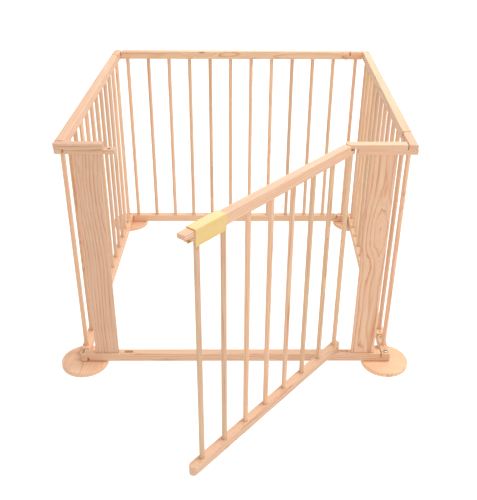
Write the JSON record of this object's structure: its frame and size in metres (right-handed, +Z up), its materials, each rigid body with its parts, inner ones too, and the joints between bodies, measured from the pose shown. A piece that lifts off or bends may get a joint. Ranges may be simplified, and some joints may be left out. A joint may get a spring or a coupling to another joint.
{
  "type": "wooden playpen",
  "caption": "Square folding playpen of round wooden bars between straight rails, on four disc feet, with a lift-and-swing gate and a sliding latch sleeve.",
  "frame": {"origin": "on the floor, under the middle of the outer box of the pen with its gate open as at rest", "axes": "+Z up, -Y towards the gate side, +X to the right of someone facing the gate from outside"},
  "size_m": [1.0648, 1.4566, 0.7075],
  "materials": {
    "pine": "bare or lightly oiled pale softwood, smooth sanded",
    "sleeve": "pale yellow extruded plastic, satin",
    "steel": "plain zinc-plated steel"
  },
  "bodies": {
    "front_frame": {"threshold": "pine", "front_left_top_rail": "pine", "front_right_top_rail": "pine", "front_left_plank": "pine", "front_right_plank": "pine", "right_link_top_rail": "pine", "right_link_lower_rail": "pine", "right_link_bar": "pine", "right_link_top_bolt": "steel", "right_link_lower_bolt": "steel", "foot_front_left": "pine", "foot_front_right": "pine", "corner_lower_bolt_front_left": "steel", "corner_lower_bolt_front_right": "steel", "corner_top_bolt_front_left": "steel", "corner_top_bolt_front_right": "steel"},
    "right_panel": {"right_top_rail": "pine", "right_lower_rail_and_bars": "pine"},
    "back_panel": {"back_top_rail": "pine", "back_lower_rail_and_bars": "pine", "back_link_top_rail": "pine", "back_link_lower_rail": "pine", "back_link_bar": "pine", "back_link_top_bolt": "steel", "back_link_lower_bolt": "steel", "left_link_top_rail": "pine", "left_link_lower_rail": "pine", "left_link_bar": "pine", "left_link_top_bolt": "steel", "left_link_lower_bolt": "steel", "foot_back_left": "pine", "foot_back_right": "pine", "corner_lower_bolt_back_left": "steel", "corner_lower_bolt_back_right": "steel", "corner_top_bolt_back_left": "steel", "corner_top_bolt_back_right": "steel"},
    "left_panel": {"left_top_rail": "pine", "left_lower_rail_and_bars": "pine"},
    "gate_hinge": {"hinge_pin_top": "steel", "hinge_pin_lower": "steel"},
    "gate": {"gate_top_rail": "pine", "gate_lower_rail": "pine", "gate_bar_1": "pine", "gate_bar_2": "pine", "gate_bar_3": "pine", "gate_bar_4": "pine", "gate_bar_5": "pine", "gate_bar_6": "pine", "gate_bar_7": "pine", "gate_bar_8": "pine", "latch_peg_top": "pine", "latch_peg_lower": "pine"},
    "sleeve": {"latch_sleeve": "sleeve"}
  },
  "joints": [
    {"name": "side_fold", "type": "hinge", "parent": "front_frame", "child": "right_panel", "pos_m": [0.43876, -0.16935, 0.36], "axis": [0, 0, 1], "range_deg": [0, 84]},
    {"name": "back_corner_fold", "type": "hinge", "parent": "right_panel", "child": "back_panel", "pos_m": [0.46335, 0.65929, 0.36], "axis": [0, 0, 1], "range_deg": [-84, 0]},
    {"name": "left_corner_fold", "type": "hinge", "parent": "front_frame", "child": "left_panel", "pos_m": [-0.46335, -0.24032, 0.36], "axis": [0, 0, 1], "range_deg": [0, 84]},
    {"name": "gate_swing", "type": "hinge", "parent": "front_frame", "child": "gate_hinge", "pos_m": [0.28005, -0.24032, 0.36], "axis": [0, 0, 1], "range_deg": [-50, 45]},
    {"name": "gate_lift", "type": "slide", "parent": "gate_hinge", "child": "gate", "axis": [0, 0, 1], "range_m": [0, 0.005]},
    {"name": "sleeve_slide", "type": "slide", "parent": "gate", "child": "sleeve", "axis": [-0.6428, -0.766, 0], "range_m": [-0.44, 0.03]}
  ],
  "couplings": [
    {"joint": "back_corner_fold", "follows": "side_fold", "ratio": -1},
    {"joint": "left_corner_fold", "follows": "side_fold", "ratio": 1}
  ]
}
